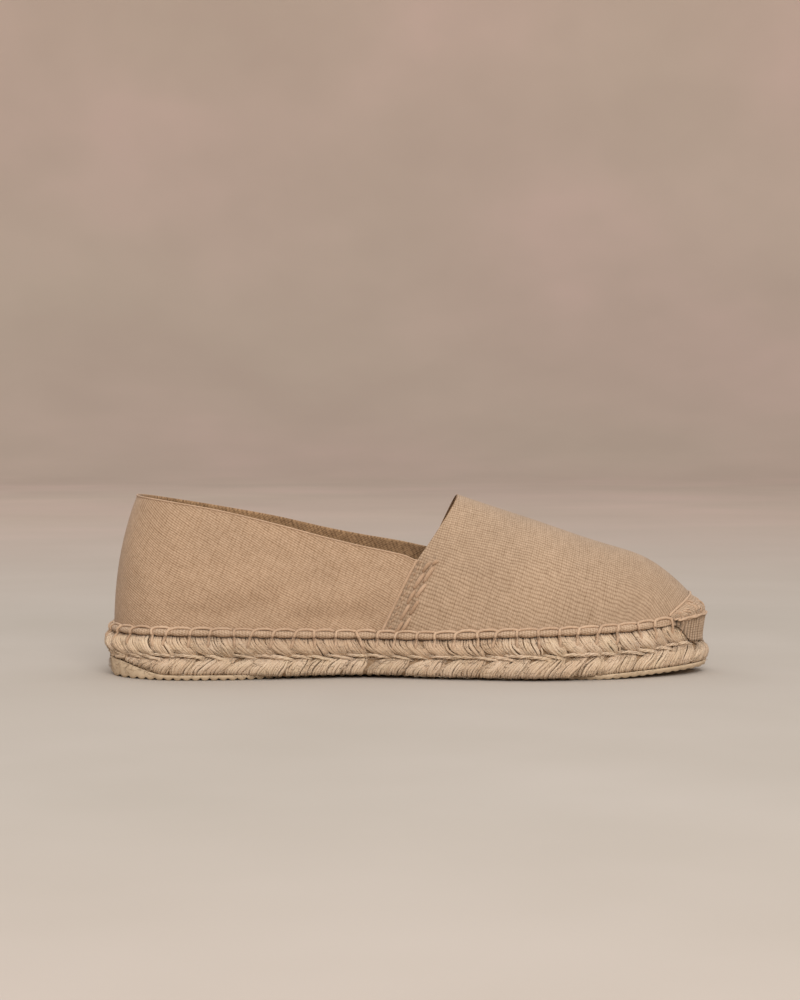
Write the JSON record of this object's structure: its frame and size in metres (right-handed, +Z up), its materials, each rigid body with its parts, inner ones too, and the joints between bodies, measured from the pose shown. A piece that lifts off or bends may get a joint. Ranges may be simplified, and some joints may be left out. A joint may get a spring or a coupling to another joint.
{
  "type": "espadrille shoe",
  "caption": "Flat slip-on espadrille for the left foot: canvas upper with low collar and deep throat, braided jute sole, thin rubber tread.",
  "frame": {"origin": "on the floor, at the middle of the shoe's bounding box", "axes": "+X from heel to toe, +Y to the wearer's left, which is the outer side of this left shoe, +Z up"},
  "size_m": [0.27, 0.0948, 0.0798],
  "materials": {
    "rubber": "thin moulded crepe-coloured rubber, matt, ribbed edge",
    "jute": "plaited natural jute yarn, dry and fibrous",
    "insole": "plain woven jute and cotton sock, matt",
    "canvas": "coarse plain-weave cotton canvas, undyed tan, matt",
    "canvas_patch": "gathered and hand-stitched canvas, matt"
  },
  "bodies": {
    "root": {"rubber_outsole": "rubber", "jute_sole": "jute", "insole": "insole", "upper": "canvas", "toe_patch": "canvas_patch"}
  },
  "joints": []
}
